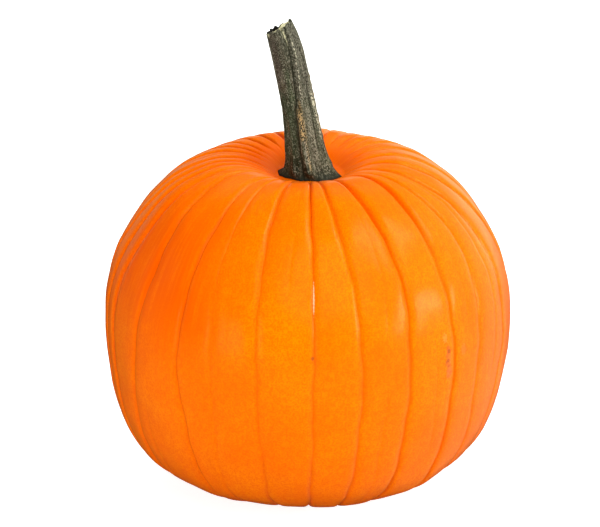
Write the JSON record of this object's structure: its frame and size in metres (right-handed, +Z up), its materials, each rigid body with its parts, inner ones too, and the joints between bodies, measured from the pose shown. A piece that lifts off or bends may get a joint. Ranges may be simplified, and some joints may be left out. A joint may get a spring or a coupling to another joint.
{
  "type": "pumpkin",
  "caption": "Round orange carving pumpkin with shallow ribs, standing upright, with a dark ridged cut stalk leaning to one side.",
  "frame": {"origin": "under the middle of the fruit, on the surface it stands on", "axes": "+Z up, from the blossom end to the stalk; -Y towards the best side, +X to the right of someone facing that side, the side the stalk leans away from"},
  "size_m": [0.2792, 0.2793, 0.3327],
  "materials": {
    "rind": "satin",
    "stalk": "matte"
  },
  "bodies": {
    "root": {"fruit": "rind", "stem": "stalk"}
  },
  "joints": []
}
